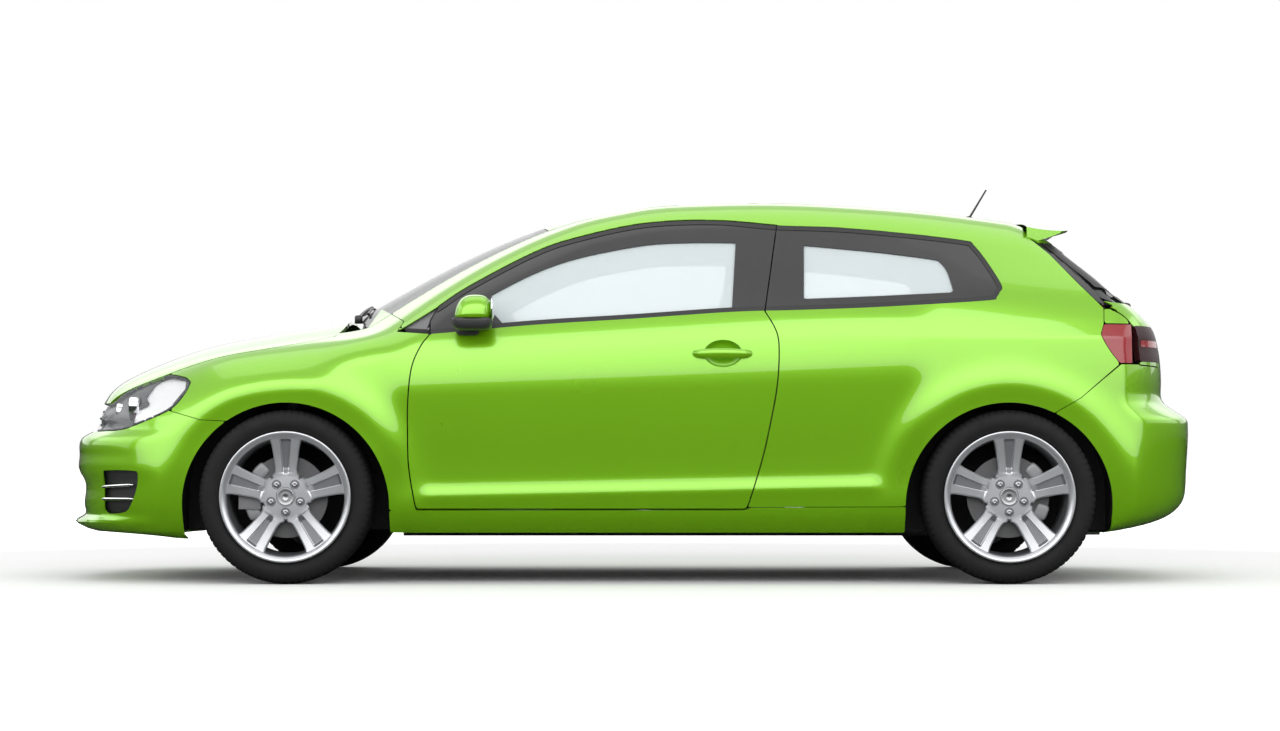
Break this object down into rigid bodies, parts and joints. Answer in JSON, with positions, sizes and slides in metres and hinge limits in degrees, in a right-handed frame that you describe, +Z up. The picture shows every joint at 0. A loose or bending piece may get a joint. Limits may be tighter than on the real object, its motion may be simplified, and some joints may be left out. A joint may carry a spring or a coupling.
{
  "type": "three-door hatchback car",
  "caption": "Small three-door hatchback car with opening doors, bonnet and tailgate, steered front wheels and rolling wheels.",
  "frame": {"origin": "on the ground under the middle of the car", "axes": "-X towards the nose, -Y towards the car's left side, +Z up"},
  "size_m": [4.2629, 2.02, 1.5042],
  "materials": {
    "paint": "gloss lime green paint",
    "underbody": "satin black underbody coating",
    "cast_metal": "bare cast metal",
    "black_trim": "fine-grained black plastic",
    "glass": "clear window glass",
    "lamp_clear": "clear lens over a bright reflector",
    "lamp_red": "red lens",
    "seat_cloth": "woven cloth",
    "exhaust_steel": "brushed",
    "tyre": "black rubber",
    "alloy": "painted silver alloy",
    "brake_steel": "turned steel"
  },
  "bodies": {
    "root": {"floor_pan": "underbody", "bulkhead": "underbody", "side_frame_left": "paint", "side_frame_right": "paint", "roof_panel": "paint", "front_fender_left": "paint", "front_fender_right": "paint", "side_skirts": "paint", "front_bumper": "paint", "rear_bumper": "paint", "grilles": "black_trim", "cowl_panel": "black_trim", "windscreen": "glass", "quarter_windows": "glass", "headlamps": "lamp_clear", "tail_lamps": "lamp_red", "dashboard": "black_trim", "front_seats": "seat_cloth", "rear_bench": "seat_cloth", "engine": "cast_metal", "front_frame": "underbody", "rear_axle": "underbody", "wheel_arch_liners": "black_trim", "exhaust": "exhaust_steel", "antenna": "black_trim", "windscreen_wipers": "black_trim"},
    "bonnet": {"bonnet": "paint"},
    "door_left": {"door_left": "paint", "door_window_left": "glass", "mirror_left": "paint", "door_handle_left": "paint"},
    "door_right": {"door_right": "paint", "door_window_right": "glass", "mirror_right": "paint", "door_handle_right": "paint"},
    "tailgate": {"tailgate": "paint", "rear_window": "glass", "spoiler": "paint", "rear_wiper": "black_trim", "tailgate_lamps": "lamp_red"},
    "knuckle_left": {"knuckle_left": "cast_metal"},
    "knuckle_right": {"knuckle_right": "cast_metal"},
    "wheel_front_left": {"tyre_front_left": "tyre", "wheel_front_left": "alloy", "brake_disc_front_left": "brake_steel"},
    "wheel_front_right": {"tyre_front_right": "tyre", "wheel_front_right": "alloy", "brake_disc_front_right": "brake_steel"},
    "wheel_rear_left": {"tyre_rear_left": "tyre", "wheel_rear_left": "alloy", "brake_disc_rear_left": "brake_steel"},
    "wheel_rear_right": {"tyre_rear_right": "tyre", "wheel_rear_right": "alloy", "brake_disc_rear_right": "brake_steel"},
    "steering_wheel": {"steering_wheel": "black_trim"}
  },
  "joints": [
    {"name": "bonnet_hinge", "type": "hinge", "parent": "root", "child": "bonnet", "pos_m": [-1.0935, 0, 0.968], "axis": [0, 1, 0], "range_deg": [0, 55]},
    {"name": "door_left_hinge", "type": "hinge", "parent": "root", "child": "door_left", "pos_m": [-0.7435, -0.858, 0.585], "axis": [0, 0, -1], "range_deg": [0, 65]},
    {"name": "door_right_hinge", "type": "hinge", "parent": "root", "child": "door_right", "pos_m": [-0.7435, 0.858, 0.585], "axis": [0, 0, 1], "range_deg": [0, 65]},
    {"name": "tailgate_hinge", "type": "hinge", "parent": "root", "child": "tailgate", "pos_m": [1.4765, 0, 1.34], "axis": [0, -1, 0], "range_deg": [0, 80]},
    {"name": "steer_left", "type": "hinge", "parent": "root", "child": "knuckle_left", "pos_m": [-1.2615, -0.75, 0.192], "axis": [0, 0.2296, 0.9733], "range_deg": [-32, 32]},
    {"name": "steer_right", "type": "hinge", "parent": "root", "child": "knuckle_right", "pos_m": [-1.2615, 0.75, 0.192], "axis": [0, -0.2296, 0.9733], "range_deg": [-32, 32]},
    {"name": "spin_front_left", "type": "hinge", "parent": "knuckle_left", "child": "wheel_front_left", "pos_m": [-1.2615, -0.765, 0.318], "axis": [0, 1, 0], "continuous": true},
    {"name": "spin_front_right", "type": "hinge", "parent": "knuckle_right", "child": "wheel_front_right", "pos_m": [-1.2615, 0.765, 0.318], "axis": [0, 1, 0], "continuous": true},
    {"name": "spin_rear_left", "type": "hinge", "parent": "root", "child": "wheel_rear_left", "pos_m": [1.3745, -0.765, 0.318], "axis": [0, 1, 0], "continuous": true},
    {"name": "spin_rear_right", "type": "hinge", "parent": "root", "child": "wheel_rear_right", "pos_m": [1.3745, 0.765, 0.318], "axis": [0, 1, 0], "continuous": true},
    {"name": "steering_turn", "type": "hinge", "parent": "root", "child": "steering_wheel", "pos_m": [-0.3975, -0.37, 0.84], "axis": [0.9135, 0, 0.4067], "range_deg": [-480, 480]}
  ],
  "couplings": [
    {"joint": "steer_right", "follows": "steer_left", "ratio": 1},
    {"joint": "steering_turn", "follows": "steer_left", "ratio": 15}
  ]
}
